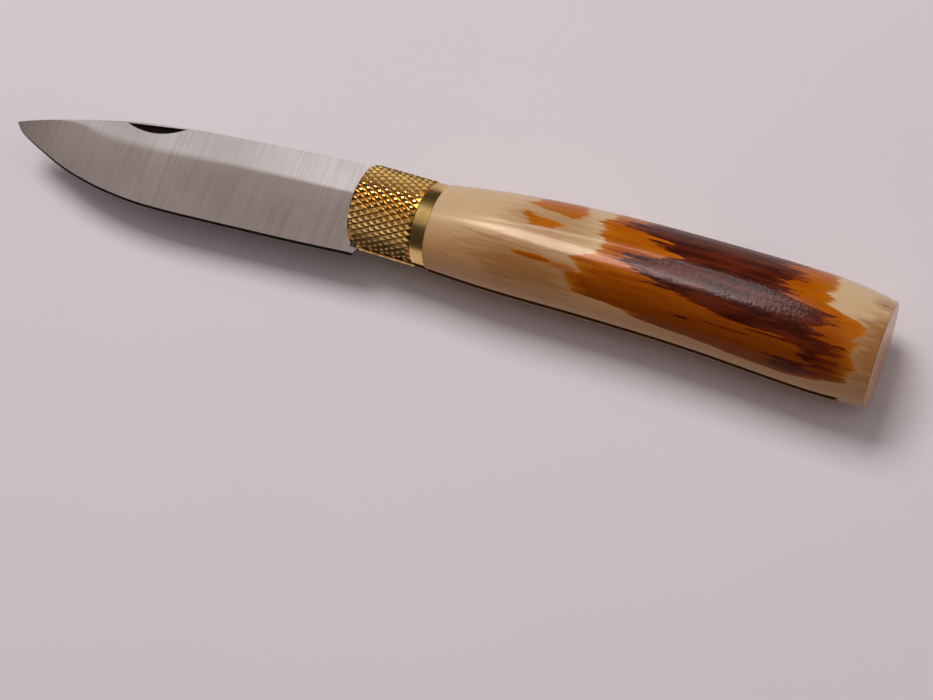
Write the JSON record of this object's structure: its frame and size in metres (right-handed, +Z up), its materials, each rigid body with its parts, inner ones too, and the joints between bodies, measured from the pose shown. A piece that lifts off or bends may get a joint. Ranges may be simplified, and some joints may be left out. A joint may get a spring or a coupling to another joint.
{
  "type": "folding pocket knife",
  "caption": "Folding pocket knife with a drop-point blade, a round polished antler handle and a knurled brass ring that turns to lock the blade.",
  "frame": {"origin": "middle of the base of the bounding box, with the open knife lying on its side", "axes": "+X along the handle towards its butt, -X towards the tip, -Y to the cutting edge and the blade slot, +Z up, square to the blade"},
  "size_m": [0.178, 0.0244, 0.0209],
  "materials": {
    "antler": "polished antler, cream with burnt orange and dark brown patches",
    "brass": "turned brass, knurled on the ring",
    "steel": "satin ground stainless steel"
  },
  "bodies": {
    "grip": {"handle": "antler", "ferrule": "brass", "rear_band": "brass", "pivot_pin": "steel"},
    "ring": {"locking_ring": "brass"},
    "blade": {"blade": "steel"}
  },
  "joints": [
    {"name": "blade_fold", "type": "hinge", "parent": "grip", "child": "blade", "pos_m": [-0.00295, -0.0028, 0.01044], "axis": [0, 0, 1], "range_deg": [0, 180]},
    {"name": "ring_turn", "type": "hinge", "parent": "grip", "child": "ring", "pos_m": [-0.00335, 0.0003, 0.01044], "axis": [1, 0, 0], "continuous": true}
  ]
}
